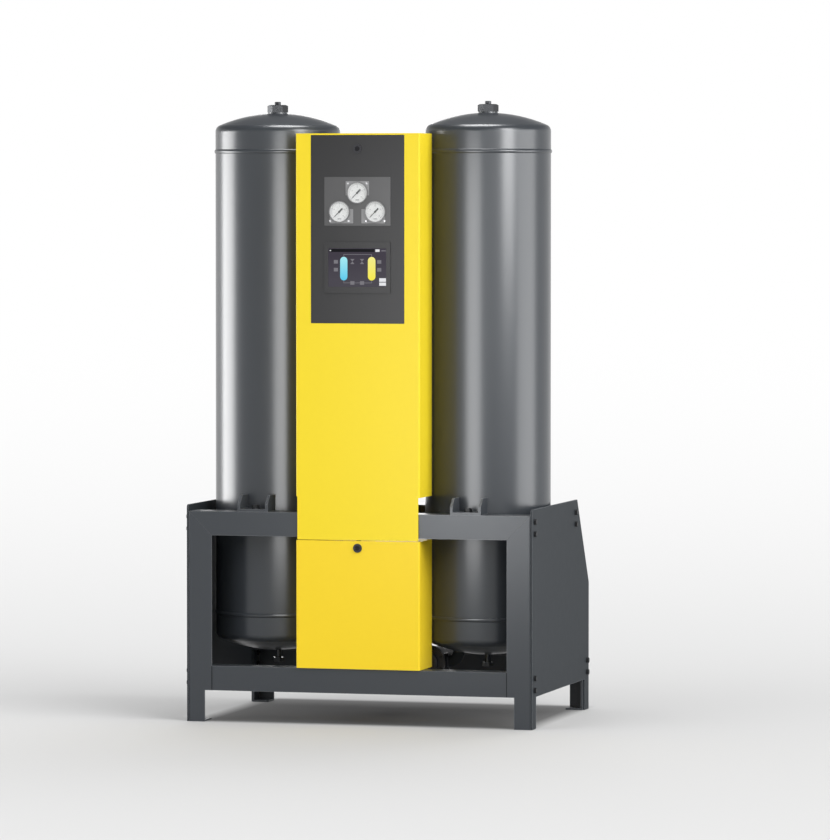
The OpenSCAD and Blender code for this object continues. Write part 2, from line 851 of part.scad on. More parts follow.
module lower_cover() {
  notch_x = lock_tongue_l + tongue_w;
  color(yellow) difference() {
    folded_cover(lower_cover_low, lower_cover_top);
    block(
      -notch_x, notch_x, sheet_back + 2, fy(angle_t) + tongue_t + 8,
      lower_cover_top - sheet_t - eps, lower_cover_top + eps
    );
    translate([0, cover_front - eps, lower_lock_z])
      along_y() cylinder(d = collar_body_d + bolt_play, h = sheet_t + 2 * eps);
  }
}

module gauge_holes(y, t, d) {
  for (p = gauge_places)
    translate([p[0], y - eps, p[1]]) along_y() cylinder(d = d, h = t + 2 * eps);
}

gauge_body_d = gauge_d - 4;

module control_panel() {
  rim_high = min(panel_high + panel_rim, cover_top - sheet_t - panel_gap);
  panel_t = panel_back - cover_front;
  color(panel_grey) difference() {
    union() {
      block(-panel_w / 2, panel_w / 2, cover_front, panel_back, panel_low, panel_high);
      block(
        -panel_w / 2 - panel_rim, panel_w / 2 + panel_rim,
        sheet_back, panel_back, panel_low - panel_rim, rim_high
      );
    }
    gauge_holes(cover_front, panel_t, gauge_body_d + tube_play);
    translate([0, cover_front - eps, upper_lock_z])
      along_y() cylinder(d = collar_body_d + bolt_play, h = panel_t + 2 * eps);
  }
}

module gauge_plate() {
  color([0.34, 0.34, 0.35]) difference() {
    upright_plate(insert_front, gauge_plate_t)
      translate([0, gauge_plate_z]) rounded_rect(insert_w, gauge_plate_h, 2);
    gauge_holes(insert_front, gauge_plate_t, gauge_body_d + tube_play);
  }
}

// Thin carrier plates behind the gauge rims, each standing out past its gauge on one side
module gauge_backplates() {
  rise = gauge_d / 2 + backplate_edge - backplate_h / 2;
  shift = 6;
  centres = [
    gauge_places[0] + [0, rise],
    gauge_places[1] + [shift, -rise],
    gauge_places[2] + [-shift, -rise]
  ];
  color(steel) difference() {
    for (c = centres)
      upright_plate(insert_front - backplate_t, backplate_t)
        translate(c) rounded_rect(backplate_w, backplate_h, 1.5);
    gauge_holes(insert_front - backplate_t, backplate_t, gauge_d + 2 * tube_play);
  }
}

// Gauge with its rim in front of the plate and its stem behind
module gauge_case(p) {
  case_back = panel_back + gauge_depth;
  stem_back = case_back + stem_l;
  color(black) translate([p[0], 0, p[1]]) difference() {
    union() {
      translate([0, insert_front - bezel_ahead, 0]) along_y() cylinder(d = gauge_d, h = bezel_ahead);
      translate([0, insert_front - eps, 0])
        along_y() cylinder(d = gauge_body_d, h = case_back - insert_front + eps);
      translate([0, case_back - eps, 0]) along_y() cylinder(r = hex_r(stem_d), h = stem_l + eps, $fn = 6);
    }
    translate([0, insert_front - bezel_ahead - eps, 0])
      along_y() cylinder(d = dial_d, h = dial_front + dial_t - insert_front + bezel_ahead + eps);
    translate([0, dial_front, 0])
      along_y() cylinder(d = spindle_d + 2 * run_gap, h = spindle_l + 1);
    translate([0, stem_back - 6, 0]) along_y() cylinder(d = tube_d + 2 * thread_gap, h = 6 + eps);
  }
}

module top_gauge_case() { gauge_case(gauge_places[0]); }
module left_gauge_case() { gauge_case(gauge_places[1]); }
module right_gauge_case() { gauge_case(gauge_places[2]); }

module gauge_dials() {
  color("white")
    for (p = gauge_places)
      translate([p[0], dial_front, p[1]]) along_y() difference() {
        cylinder(d = dial_d - 2 * thread_gap, h = dial_t);
        translate([0, 0, -eps]) cylinder(d = spindle_d + 1, h = dial_t + 2 * eps);
      }
}

module gauge_lenses() {
  color([0.8, 0.9, 0.95, 0.3])
    for (p = gauge_places)
      translate([p[0], lens_front, p[1]]) along_y() cylinder(d = dial_d - 2 * thread_gap, h = lens_t);
}

// Pointer at its zero stop: needle to the lower left, broad tail to the upper right
module pointer(p) {
  needle_w = 2.2;
  tip_w = 1.2;
  tail_w = 4.6;
  hub_d = 6;
  color(black) translate([p[0], 0, p[1]]) {
    upright_plate(pointer_front, pointer_t) rotate(zero_angle) {
      polygon([[0, needle_w / 2], [-needle_l, tip_w / 2], [-needle_l, -tip_w / 2], [0, -needle_w / 2]]);
      translate([-hub_d / 2, -tail_w / 2]) square([tail_l + hub_d / 2, tail_w]);
      circle(d = hub_d);
    }
    translate([0, pointer_front + pointer_t - eps, 0])
      along_y() cylinder(d = spindle_d, h = spindle_l - pointer_t);
  }
}

module top_gauge_pointer() { pointer(gauge_places[0]); }
module left_gauge_pointer() { pointer(gauge_places[1]); }
module right_gauge_pointer() { pointer(gauge_places[2]); }

module display_bezel() {
  front = cover_front - display_t;
  color(black) difference() {
    upright_plate(front, display_t) translate([0, display_z]) rounded_rect(insert_w, display_h, 4);
    block(
      -screen_w / 2, screen_w / 2, front - eps, front + screen_pocket,
      display_z - screen_h / 2, display_z + screen_h / 2
    );
  }
}

module display_screen() {
  front = cover_front - display_t;
  sx = screen_w / 2 - thread_gap;
  sz = screen_h / 2 - thread_gap;
  color([0.16, 0.16, 0.18])
    block(-sx, sx, front + seat_gap, front + screen_pocket, display_z - sz, display_z + sz);
}

// Electronics housing on the back of the panel, with a ribbed heat sink
module controller_box() {
  sx = upright_in - 6;
  sz = screen_h / 2 + 8;
  rib_h = 8;
  body_back = panel_back + controller_d - rib_h;
  color(black) {
    block(-sx, sx, panel_back, body_back, display_z - sz, display_z + sz);
    for (x = [-sx + 10 : 14 : sx - 14])
      block(x, x + 4, body_back - eps, body_back + rib_h, display_z - sz + 8, display_z + sz - 8);
  }
}

// Quarter-turn locks

// Collar on a sheet whose front face is at y, reaching behind it
module lock_collar(y, z, reach) {
  color(black) translate([0, y, z]) difference() {
    union() {
      translate([0, -collar_ahead, 0]) along_y() cylinder(d = lock_collar_d, h = collar_ahead);
      along_y() cylinder(d = collar_body_d, h = reach);
    }
    translate([0, -collar_ahead - eps, 0])
      along_y() cylinder(d = lock_core_d + 2 * run_gap, h = collar_ahead + reach + 2 * eps);
  }
}

// Core with its key slot in front and the latch tongue behind, tongue upright when locked
module lock_core(y, z, tongue_y) {
  front = -collar_ahead - 0.5;
  slot_w = 2.4;
  color(black) translate([0, y, z]) {
    difference() {
      translate([0, front, 0]) along_y() cylinder(d = lock_core_d, h = tongue_y - y - front + tongue_t);
      block(-lock_core_d, lock_core_d, front - eps, front + 2, -slot_w / 2, slot_w / 2);
    }
    block(-tongue_w / 2, tongue_w / 2, tongue_y - y, tongue_y - y + tongue_t, 0, lock_tongue_l);
  }
}

upper_tongue_y = chassis_front + chassis_t + 1;
lower_tongue_y = fy(angle_t) + 1;

module upper_lock_collar() { lock_collar(cover_front, upper_lock_z, panel_back - cover_front + 5); }
module upper_lock_core() { lock_core(cover_front, upper_lock_z, upper_tongue_y); }
module lower_lock_collar() { lock_collar(cover_front, lower_lock_z, sheet_t + 5); }
module lower_lock_core() { lock_core(cover_front, lower_lock_z, lower_tongue_y); }

// Dry air side, between the vessels at the top

module upper_manifold() {
  half = outlet_block_s / 2;
  color(alloy) difference() {
    block(-outlet_block_x, outlet_block_x, vy - half, vy + half, outlet_z - half, outlet_z + half);
    translate([-outlet_block_x - eps, vy, outlet_z])
      along_x() cylinder(d = port_bore, h = 2 * outlet_block_x + 2 * eps);
    translate([0, vy, outlet_z]) along_y() cylinder(d = main_pipe_d - 2 * main_pipe_t, h = half + eps);
    translate([0, vy - half - eps, outlet_z])
      along_y() cylinder(d = orifice_thread, h = half);
  }
}

orifice_thread = 16;
orifice_af = 24;
orifice_h = 14;

module purge_orifice() {
  color("goldenrod") translate([0, vy - outlet_block_s / 2, outlet_z])
    rotate([90, 0, 0]) hex_plug(orifice_af, orifice_h, orifice_thread, 12, 1.5);
}

// Spring check valve: hexagon body between the outlet block and a vessel coupling
module check_valve() {
  color("goldenrod") translate([outlet_block_x, vy, outlet_z]) along_x() difference() {
    union() {
      cylinder(d = coupling_d, h = check_l);
      translate([0, 0, check_collar])
        cylinder(r = hex_r(check_af), h = check_l - 2 * check_collar, $fn = 6);
    }
    translate([0, 0, -eps]) cylinder(d = port_bore, h = check_l + 2 * eps);
  }
}

module right_check_valve() { check_valve(); }
module left_check_valve() { mirror([1, 0, 0]) check_valve(); }

// Plain pipe to the rear with a threaded socket at its end
module main_pipe(y, z, l) {
  translate([0, y, z]) along_y() difference() {
    union() {
      cylinder(d = main_pipe_d, h = l);
      translate([0, 0, l - socket_l]) cylinder(d = socket_d, h = socket_l);
    }
    translate([0, 0, -eps]) cylinder(d = main_pipe_d - 2 * main_pipe_t, h = l + 2 * eps);
    translate([0, 0, l - socket_l]) cylinder(d = socket_bore, h = socket_l + eps);
  }
}

sensor_d = 18;
sensor_hex = 22;
sensor_l = 30;
sensor_boss_h = 8;
sensor_behind = 40;
sensor_y = vy + outlet_block_s / 2 + sensor_behind;

module outlet_pipe() {
  color(anthracite) difference() {
    union() {
      main_pipe(vy + outlet_block_s / 2, outlet_z, outlet_pipe_l);
      translate([0, sensor_y, outlet_z + main_pipe_d / 2 - main_pipe_t])
        cylinder(d = sensor_hex + 4, h = sensor_boss_h + main_pipe_t);
    }
    translate([0, vy + outlet_block_s / 2, outlet_z])
      along_y() cylinder(d = main_pipe_d - 2 * main_pipe_t, h = outlet_pipe_l - socket_l);
    translate([0, sensor_y, outlet_z]) cylinder(d = sensor_d - 4, h = main_pipe_d);
  }
}

// Sensor on the outlet pipe, hidden behind the cover's top
module dew_point_sensor() {
  color(steel) translate([0, sensor_y, outlet_z + main_pipe_d / 2 + sensor_boss_h]) {
    hex_plug(sensor_hex, 9, sensor_d - 4, 11, 1);
    cylinder(d = sensor_d, h = sensor_l);
    translate([0, 0, sensor_l - eps]) cylinder(d = 0.6 * sensor_d, h = 14);
  }
}

// Wet air side, between the vessels at the bottom

module lower_manifold() {
  front = vy - inlet_block_d / 2;
  color(alloy) difference() {
    block(-inlet_block_x, inlet_block_x, front, block_rear, inlet_block_low, inlet_block_high);
    translate([0, vy, inlet_z]) along_y() cylinder(d = main_pipe_d - 2 * main_pipe_t, h = inlet_block_d);
    translate([-inlet_block_x - eps, vy, valve_z])
      along_x() cylinder(d = port_bore, h = 2 * inlet_block_x + 2 * eps);
  }
}

// Diaphragm valve body with a neck to the block and one to the vessel
module inlet_valve() {
  color(alloy) difference() {
    union() {
      translate([valve_x, bonnet_back, valve_z]) along_y() cylinder(d = valve_d, h = valve_l);
      translate([inlet_block_x, vy, valve_z]) along_x() cylinder(d = neck_d, h = neck_end - inlet_block_x);
    }
    translate([inlet_block_x - eps, vy, valve_z])
      along_x() cylinder(d = port_bore, h = neck_end - inlet_block_x + 2 * eps);
    bonnet_bolt_ring(bonnet_back - eps) cylinder(d = bonnet_bolt_d, h = bonnet_bolt_hole);
    translate([valve_x, valve_rear - silencer_thread_l, valve_z])
      along_y() cylinder(d = silencer_thread, h = silencer_thread_l + eps);
  }
}

module right_inlet_valve() { inlet_valve(); }
module left_inlet_valve() { mirror([1, 0, 0]) inlet_valve(); }

// Ring of places on the right-hand bonnet, along +y
module bonnet_bolt_ring(y) {
  for (i = [0 : bonnet_bolts_n - 1])
    translate([valve_x, y, valve_z])
      rotate([0, (i + 0.5) * 360 / bonnet_bolts_n, 0])
        translate([bonnet_ring_r, 0, 0]) along_y() children();
}

module valve_bonnet() {
  cap_r = bonnet_ring_r - 11;
  round_r = 5;
  shoulder = bonnet_t + bonnet_cap_h - round_r;
  color(alloy) difference() {
    translate([valve_x, bonnet_back, valve_z]) rotate([90, 0, 0]) rotate_extrude() {
      square([bonnet_d / 2, bonnet_t]);
      square([cap_r, shoulder]);
      translate([0, shoulder - eps]) square([cap_r - round_r, round_r + eps]);
      translate([cap_r - round_r, shoulder]) intersection() {
        circle(r = round_r);
        square(round_r);
      }
    }
    bonnet_bolt_ring(bonnet_front - eps) cylinder(d = bonnet_bolt_d + bolt_play, h = bonnet_t + 2 * eps);
  }
}

module right_valve_bonnet() { valve_bonnet(); }
module left_valve_bonnet() { mirror([1, 0, 0]) valve_bonnet(); }

module bonnet_bolts() {
  shank_l = bonnet_t + bonnet_bolt_grip;
  head_h = 5;
  color(steel) both_sides() bonnet_bolt_ring(bonnet_front) {
    translate([0, 0, -head_h]) cylinder(r = hex_r(8), h = head_h, $fn = 6);
    translate([0, 0, -eps]) cylinder(d = bonnet_bolt_d - 2 * thread_gap, h = shank_l);
  }
}

// Bends from the vessels' lower stubs into the inlet valves
module connection_bends() {
  flange = min(5, link_straight);
  color(anthracite) both_sides() translate([0, vy, valve_z]) {
    translate([bend_x, 0, link_bend]) rotate([90, 0, 0]) rotate([0, 0, -90])
      rotate_extrude(angle = 90) translate([link_bend, 0]) difference() {
        circle(d = link_d);
        circle(d = port_bore);
      }
    translate([neck_end, 0, 0]) along_x() difference() {
      union() {
        cylinder(d = link_d, h = link_straight);
        cylinder(d = neck_d, h = flange);
      }
      translate([0, 0, -eps]) cylinder(d = port_bore, h = link_straight + 2 * eps);
    }
  }
}

silencer_thread = 26;
silencer_thread_l = 16;

// Exhaust silencer: end caps over a sleeve with rows of outlet holes
module silencer() {
  cap = 14;
  rows = 7;
  holes = 12;
  row_pitch = (silencer_l - 3 * cap) / (rows - 1);
  color(black) translate([valve_x, valve_rear, valve_z]) along_y() {
    translate([0, 0, -silencer_thread_l + 1])
      cylinder(d = silencer_thread - 2 * thread_gap, h = silencer_thread_l);
    difference() {
      union() {
        cylinder(d = silencer_d, h = cap);
        cylinder(d = silencer_d - 4, h = silencer_l);
        translate([0, 0, silencer_l - cap]) cylinder(d = silencer_d, h = cap);
      }
      for (i = [0 : rows - 1], j = [0 : holes - 1])
        translate([0, 0, 1.5 * cap + i * row_pitch])
          rotate([0, 90, (j + (i % 2) / 2) * 360 / holes])
            translate([0, 0, silencer_d / 2 - 5]) cylinder(d = 5, h = 10, $fn = 16);
    }
  }
}

module right_silencer() { silencer(); }
module left_silencer() { mirror([1, 0, 0]) silencer(); }

module inlet_pipe() { color(anthracite) main_pipe(block_rear, inlet_z, inlet_pipe_l); }

// Pilot valves on the chassis: one block with a coil on each valve
module pilot_valve_block() {
  color(black) {
    difference() {
      block(-pilot_x, pilot_x, pilot_front, pilot_front + pilot_d, pilot_low, pilot_high);
      for (p = gauge_places)
        translate([p[0], tube_y, pilot_high - 8]) cylinder(d = tube_d + 2 * thread_gap, h = 8 + eps);
    }
    for (i = [-1.5 : 1 : 1.5])
      block(
        i * coil_pitch - coil_w / 2, i * coil_pitch + coil_w / 2,
        pilot_front + pilot_d - eps, pilot_front + pilot_d + coil_l,
        pilot_low + coil_low, pilot_high - coil_drop
      );
  }
}

// Tubes from the gauge stems to the pilot block
module gauge_tubes() {
  stem_back = panel_back + gauge_depth + stem_l;
  bend_y = tube_y - tube_bend;
  color("royalblue")
    for (p = gauge_places) translate([p[0], 0, 0]) {
      translate([0, stem_back - 5, p[1]]) along_y() cylinder(d = tube_d, h = bend_y - stem_back + 5);
      translate([0, bend_y, p[1] - tube_bend]) rotate([90, 0, 90])
        rotate_extrude(angle = 90) translate([tube_bend, 0]) circle(d = tube_d);
      translate([0, tube_y, pilot_high - 7]) cylinder(d = tube_d, h = p[1] - tube_bend - pilot_high + 7);
    }
}

front_frame();
rear_top_rail();
rear_base();
left_side_plate();
right_side_plate();
side_plate_bolts();
left_vessel();
right_vessel();
left_vessel_brackets();
right_vessel_brackets();
bracket_bolts();
left_desiccant_bed();
right_desiccant_bed();
lower_screens();
upper_screens();
left_fill_plug();
right_fill_plug();
vent_plugs();
drain_plugs();
cover_chassis();
upper_cover();
lower_cover();
control_panel();
gauge_plate();
gauge_backplates();
top_gauge_case();
left_gauge_case();
right_gauge_case();
gauge_dials();
top_gauge_pointer();
left_gauge_pointer();
right_gauge_pointer();
gauge_lenses();
display_bezel();
display_screen();
controller_box();
upper_lock_collar();
upper_lock_core();
lower_lock_collar();
lower_lock_core();
upper_manifold();
left_check_valve();
right_check_valve();
purge_orifice();
outlet_pipe();
dew_point_sensor();
lower_manifold();
left_inlet_valve();
right_inlet_valve();
left_valve_bonnet();
right_valve_bonnet();
bonnet_bolts();
connection_bends();
left_silencer();
right_silencer();
inlet_pipe();
pilot_valve_block();
gauge_tubes();
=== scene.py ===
"""Looks of the twin-tower desiccant air dryer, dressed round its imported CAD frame.

Metres, +Z up, -Y to the front. The CAD nodes keep their shapes and get procedural finishes; small
trim, dial printing and the display's graphics are added as meshes of their own.
"""
import math

import bmesh
import bpy
from mathutils import Matrix, Vector


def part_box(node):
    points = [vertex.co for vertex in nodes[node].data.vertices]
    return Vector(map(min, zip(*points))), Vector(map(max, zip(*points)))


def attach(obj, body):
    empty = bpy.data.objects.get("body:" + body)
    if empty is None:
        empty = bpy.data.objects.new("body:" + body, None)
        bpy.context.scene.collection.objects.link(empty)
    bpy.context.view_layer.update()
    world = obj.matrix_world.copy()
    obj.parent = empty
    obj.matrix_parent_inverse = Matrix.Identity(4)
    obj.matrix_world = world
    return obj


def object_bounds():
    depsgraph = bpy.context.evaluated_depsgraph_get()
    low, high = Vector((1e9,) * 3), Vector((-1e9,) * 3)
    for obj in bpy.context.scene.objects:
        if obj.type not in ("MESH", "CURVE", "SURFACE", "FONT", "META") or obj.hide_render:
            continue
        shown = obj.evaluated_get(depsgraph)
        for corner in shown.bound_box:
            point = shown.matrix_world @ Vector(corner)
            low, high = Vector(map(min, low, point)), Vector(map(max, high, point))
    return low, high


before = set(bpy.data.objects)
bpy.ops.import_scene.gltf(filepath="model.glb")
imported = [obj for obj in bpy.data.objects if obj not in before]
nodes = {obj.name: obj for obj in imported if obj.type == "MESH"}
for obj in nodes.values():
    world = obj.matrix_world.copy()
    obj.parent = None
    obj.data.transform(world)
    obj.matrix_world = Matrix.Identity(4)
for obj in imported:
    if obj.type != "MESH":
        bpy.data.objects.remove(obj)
cad_low, cad_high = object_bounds()

MM = 0.001
ROOT = "dryer"
WHITE = (1.0, 1.0, 1.0, 1.0)


# Camera, solved from the photograph

IMAGE_LONG_PX = 840
FOCAL_PX = 5471.1
SENSOR_MM = 36.0
CAMERA_PLACE = (4.2105, -15.0505, 1.4928)
CAMERA_YAW = math.radians(15.37)
CAMERA_TILT = math.radians(2.374)
CAMERA_REACH = 300.0


def make_camera():
    data = bpy.data.cameras.new("camera")
    data.sensor_width = SENSOR_MM
    data.lens = FOCAL_PX * SENSOR_MM / IMAGE_LONG_PX
    data.clip_end = CAMERA_REACH
    cam = bpy.data.objects.new("camera", data)
    cam.location = CAMERA_PLACE
    cam.rotation_euler = (math.pi / 2 - CAMERA_TILT, 0.0, CAMERA_YAW)
    bpy.context.scene.collection.objects.link(cam)
    bpy.context.scene.camera = cam


# Node tree helpers


class Tree:
    """A material's or world's node tree with short calls for the nodes used here."""

    def __init__(self, tree):
        self.tree = tree

    def node(self, kind, **inputs):
        made = self.tree.nodes.new(kind)
        for key, value in inputs.items():
            self.put(made, key, value)
        return made

    def put(self, made, key, value):
        """Set an input, by its number or its name with _ for spaces, to a value or another node's output."""
        socket = made.inputs[key.replace("_", " ")] if isinstance(key, str) else made.inputs[key]
        if isinstance(value, bpy.types.NodeSocket):
            self.tree.links.new(value, socket)
        else:
            socket.default_value = value

    def place(self):
        """Coordinates in the frame, in metres."""
        return self.node("ShaderNodeTexCoord").outputs["Object"]

    def along(self, axis):
        """One coordinate in the frame, in metres."""
        return self.node("ShaderNodeSeparateXYZ", Vector=self.place()).outputs[axis]

    def noise(self, scale, detail=2.0, rough=0.5, vector=None):
        made = self.node("ShaderNodeTexNoise", Scale=scale, Detail=detail, Roughness=rough)
        self.put(made, "Vector", vector or self.place())
        return made.outputs["Fac"]

    def span(self, value, low, high, from_low=0.0, from_high=1.0):
        """A value between from_low and from_high, carried over to between low and high and held there."""
        made = self.node("ShaderNodeMapRange")
        self.put(made, 0, value)
        for index, number in enumerate((from_low, from_high, low, high), start=1):
            made.inputs[index].default_value = number
        return made.outputs[0]

    def math(self, operation, first, second=0.0):
        made = self.node("ShaderNodeMath")
        made.operation = operation
        self.put(made, 0, first)
        self.put(made, 1, second)
        return made.outputs[0]

    def vector_math(self, operation, *vectors):
        """Single number worked out from one or two vectors."""
        made = self.node("ShaderNodeVectorMath")
        made.operation = operation
        for index, vector in enumerate(vectors):
            self.put(made, index, vector)
        return made.outputs["Value"]

    def blend(self, factor, first, second, kind="MIX"):
        made = self.node("ShaderNodeMix")
        made.data_type = "RGBA"
        made.blend_type = kind
        self.put(made, 0, factor)
        self.put(made, 6, first)
        self.put(made, 7, second)
        return made.outputs[2]

    def mix_shader(self, factor, first, second):
        made = self.node("ShaderNodeMixShader")
        self.put(made, 0, factor)
        self.put(made, 1, first)
        self.put(made, 2, second)
        return made.outputs[0]

    def seen(self):
        """1 for camera, glossy and transmission rays, 0 for rays that light a surface."""
        path = self.node("ShaderNodeLightPath")
        first = self.math("MAXIMUM", path.outputs["Is Camera Ray"], path.outputs["Is Glossy Ray"])
        return self.math("MAXIMUM", first, path.outputs["Is Transmission Ray"])


# Cosine between the rounded and the flat normal where the painted edge highlight starts, and where it is
# full
EDGE_START = 0.98
EDGE_FULL = 0.75


class Finish(Tree):
    """Node tree of a new material round its Principled shader."""

    def __init__(self, name):
        self.material = bpy.data.materials.new(name)
        self.material.use_nodes = True
        super().__init__(self.material.node_tree)
        self.shader = self.tree.nodes["Principled BSDF"]

    def set(self, **inputs):
        for key, value in inputs.items():
            self.put(self.shader, key, value)

    def bump(self, height, strength, depth_mm):
        made = self.node("ShaderNodeBump", Strength=strength, Distance=depth_mm * MM, Height=height)
        self.set(Normal=made.outputs["Normal"])

    def edges(self, radius):
        """Mask of the painted edge highlight: 1 on sharp edges, 0 further than the radius from them."""
        rounded = self.node("ShaderNodeBevel", Radius=radius).outputs["Normal"]
        flat = self.node("ShaderNodeNewGeometry").outputs["Normal"]
        return self.span(self.vector_math("DOT_PRODUCT", rounded, flat), 0.0, 1.0, EDGE_START, EDGE_FULL)


def rgba(colour, factor=1.0):
    return tuple(min(1.0, c * factor) for c in colour) + (1.0,)


def srgb(r, g, b):
    """Linear colour from 8-bit screen values."""
    def line(v):
        v /= 255.0
        return v / 12.92 if v <= 0.04045 else ((v + 0.055) / 1.055) ** 2.4
    return (line(r), line(g), line(b))


# Kinds of material

# Painted highlight along sharp edges of the frame and side plates: how far it reaches and its colour
EDGE_RADIUS = 3 * MM
EDGE_HIGHLIGHT = srgb(112, 115, 119)


def coated(name, colour, rough, specular, peel=0.05, grain=900.0, uneven=0.015, gloss=0.01, edge=None):
    """Powder coat or paint: faint shade changes, fine orange peel and slightly uneven gloss.

    edge is the colour of the painted highlight on sharp edges, paler than the coat, where light would catch
    them.
    """
    f = Finish(name)
    shade = f.blend(f.noise(scale=70.0, detail=3.0), rgba(colour, 1 - uneven), rgba(colour, 1 + uneven))
    # Painted highlight, paler than the coat, along sharp edges
    if edge:
        shade = f.blend(f.edges(EDGE_RADIUS), shade, rgba(edge))
    f.set(Base_Color=shade)
    sheen = f.noise(scale=45.0, detail=3.0)
    f.set(Roughness=f.span(sheen, rough - gloss, rough + gloss, from_low=0.3, from_high=0.7))
    f.set(Specular_IOR_Level=specular)
    f.bump(f.noise(grain), strength=peel, depth_mm=0.4)
    return f.material


def metal(name, colour, rough, grain=260.0, stretch=(1, 1, 1)):
    """Bare metal with fine machining or rolling marks."""
    f = Finish(name)
    mapping = f.node("ShaderNodeMapping", Vector=f.place(), Scale=stretch)
    marks = f.noise(grain, detail=4.0, rough=0.6, vector=mapping.outputs["Vector"])
    f.set(Base_Color=f.blend(marks, rgba(colour, 0.9), rgba(colour, 1.1)))
    f.set(Roughness=f.span(marks, rough - 0.08, rough + 0.10, from_low=0.25, from_high=0.75))
    f.set(Metallic=1.0)
    f.bump(marks, strength=0.15, depth_mm=0.3)
    return f.material


def plastic(name, colour, rough, specular=0.5, grain=1500.0, peel=0.12):
    """Moulded plastic with a fine eroded grain."""
    f = Finish(name)
    fine = f.noise(grain)
    f.set(Base_Color=f.blend(f.noise(scale=30.0), rgba(colour, 0.9), rgba(colour, 1.1)))
    f.set(Roughness=f.span(fine, rough - 0.05, rough + 0.07), Specular_IOR_Level=specular)
    f.bump(fine, strength=peel, depth_mm=0.2)
    return f.material


def rimmed_case(name, rim_y, rim_colour, case_colour):
    """Gauge case of dark plastic whose rim, in front of rim_y, is a pale metal ring."""
    f = Finish(name)
    rim = f.math("LESS_THAN", f.along("Y"), rim_y)
    fine = f.noise(scale=700.0, detail=3.0)
    ring = f.blend(fine, rgba(rim_colour, 0.92), rgba(rim_colour, 1.08))
    f.set(Base_Color=f.blend(rim, rgba(case_colour), ring))
    f.set(Roughness=f.span(fine, low=0.34, high=0.46))
    f.bump(fine, strength=0.06, depth_mm=0.2)
    return f.material


def printed(name, colour):
    """Flat printed ink or paint on a dial."""
    f = Finish(name)
    f.set(Base_Color=f.blend(f.noise(scale=400.0), rgba(colour, 0.97), rgba(colour, 1.03)))
    f.set(Roughness=0.6, Specular_IOR_Level=0.05)
    f.bump(f.noise(scale=2500.0), strength=0.04, depth_mm=0.1)
    return f.material


SCREEN_BLACK = (0.004, 0.004, 0.005, 1.0)
RASTER_DIM = (0.93, 0.93, 0.93, 1.0)
RASTER_SCALE = 4000.0


def lit(name, colour, foot=None):
    """Lit area of the display with a pixel raster; foot is its colour at the bottom, where that differs."""
    f = Finish(name)
    shade = rgba(colour)
    if foot:
        shade = f.blend(f.span(f.along("Z"), 0.0, 1.0, TOWER_BOTTOM, TOWER_TOP), rgba(foot), shade)
    raster = f.node("ShaderNodeTexChecker", Vector=f.place(), Scale=RASTER_SCALE)
    f.put(raster, "Color1", RASTER_DIM)
    f.put(raster, "Color2", WHITE)
    dots = f.blend(1.0, shade, raster.outputs["Color"], kind="MULTIPLY")
    f.set(Base_Color=SCREEN_BLACK, Emission_Color=dots, Emission_Strength=1.0)
    f.set(Roughness=0.4, Specular_IOR_Level=0.03)
    return f.material


def clear_glass(name):
    """Thin flat lens that lets the studio light through to the dial."""
    f = Finish(name)
    f.set(Base_Color=(0.85, 0.88, 0.88, 1.0), Alpha=0.10)
    f.set(Roughness=f.span(f.noise(scale=60.0), low=0.02, high=0.05))
    return f.material


def beads(name, top_colour, gap_shade_colour):
    """Packed desiccant beads, with painted shade in the gaps between them."""
    f = Finish(name)
    away = f.node("ShaderNodeTexVoronoi", Scale=280.0, Vector=f.place()).outputs["Distance"]
    f.set(Base_Color=f.blend(away, rgba(top_colour), rgba(gap_shade_colour)), Roughness=0.8)
    f.bump(away, strength=0.8, depth_mm=3.0)
    return f.material


# Places that the materials and the trim share, from the frame; the display is laid out in millimetres

DIAL_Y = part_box("gauge_dials")[0].y
SCREEN_LOW, SCREEN_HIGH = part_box("display_screen")
SCREEN_MID_X = (SCREEN_LOW.x + SCREEN_HIGH.x) / 2 / MM
SCREEN_MID_Z = (SCREEN_LOW.z + SCREEN_HIGH.z) / 2 / MM
TOWER_Z0, TOWER_Z1 = -36, 30
TOWER_BOTTOM = (SCREEN_MID_Z + TOWER_Z0) * MM
TOWER_TOP = (SCREEN_MID_Z + TOWER_Z1) * MM


# Finishes, by name

ANTHRACITE = srgb(57, 61, 66)
# Darker, less glossy copy of the anthracite coat for the side plates and connection bends; its darker colour
# is painted shade
SHADED_SIDE_GREY = srgb(46, 50, 54)
YELLOW = (0.945, 0.725, 0.025)
# More orange copy of the cover yellow for the lower cover, a painted shade for the shade that falls on it
SHADED_YELLOW = (0.97, 0.695, 0.026)
BLACK = (0.016, 0.016, 0.017)

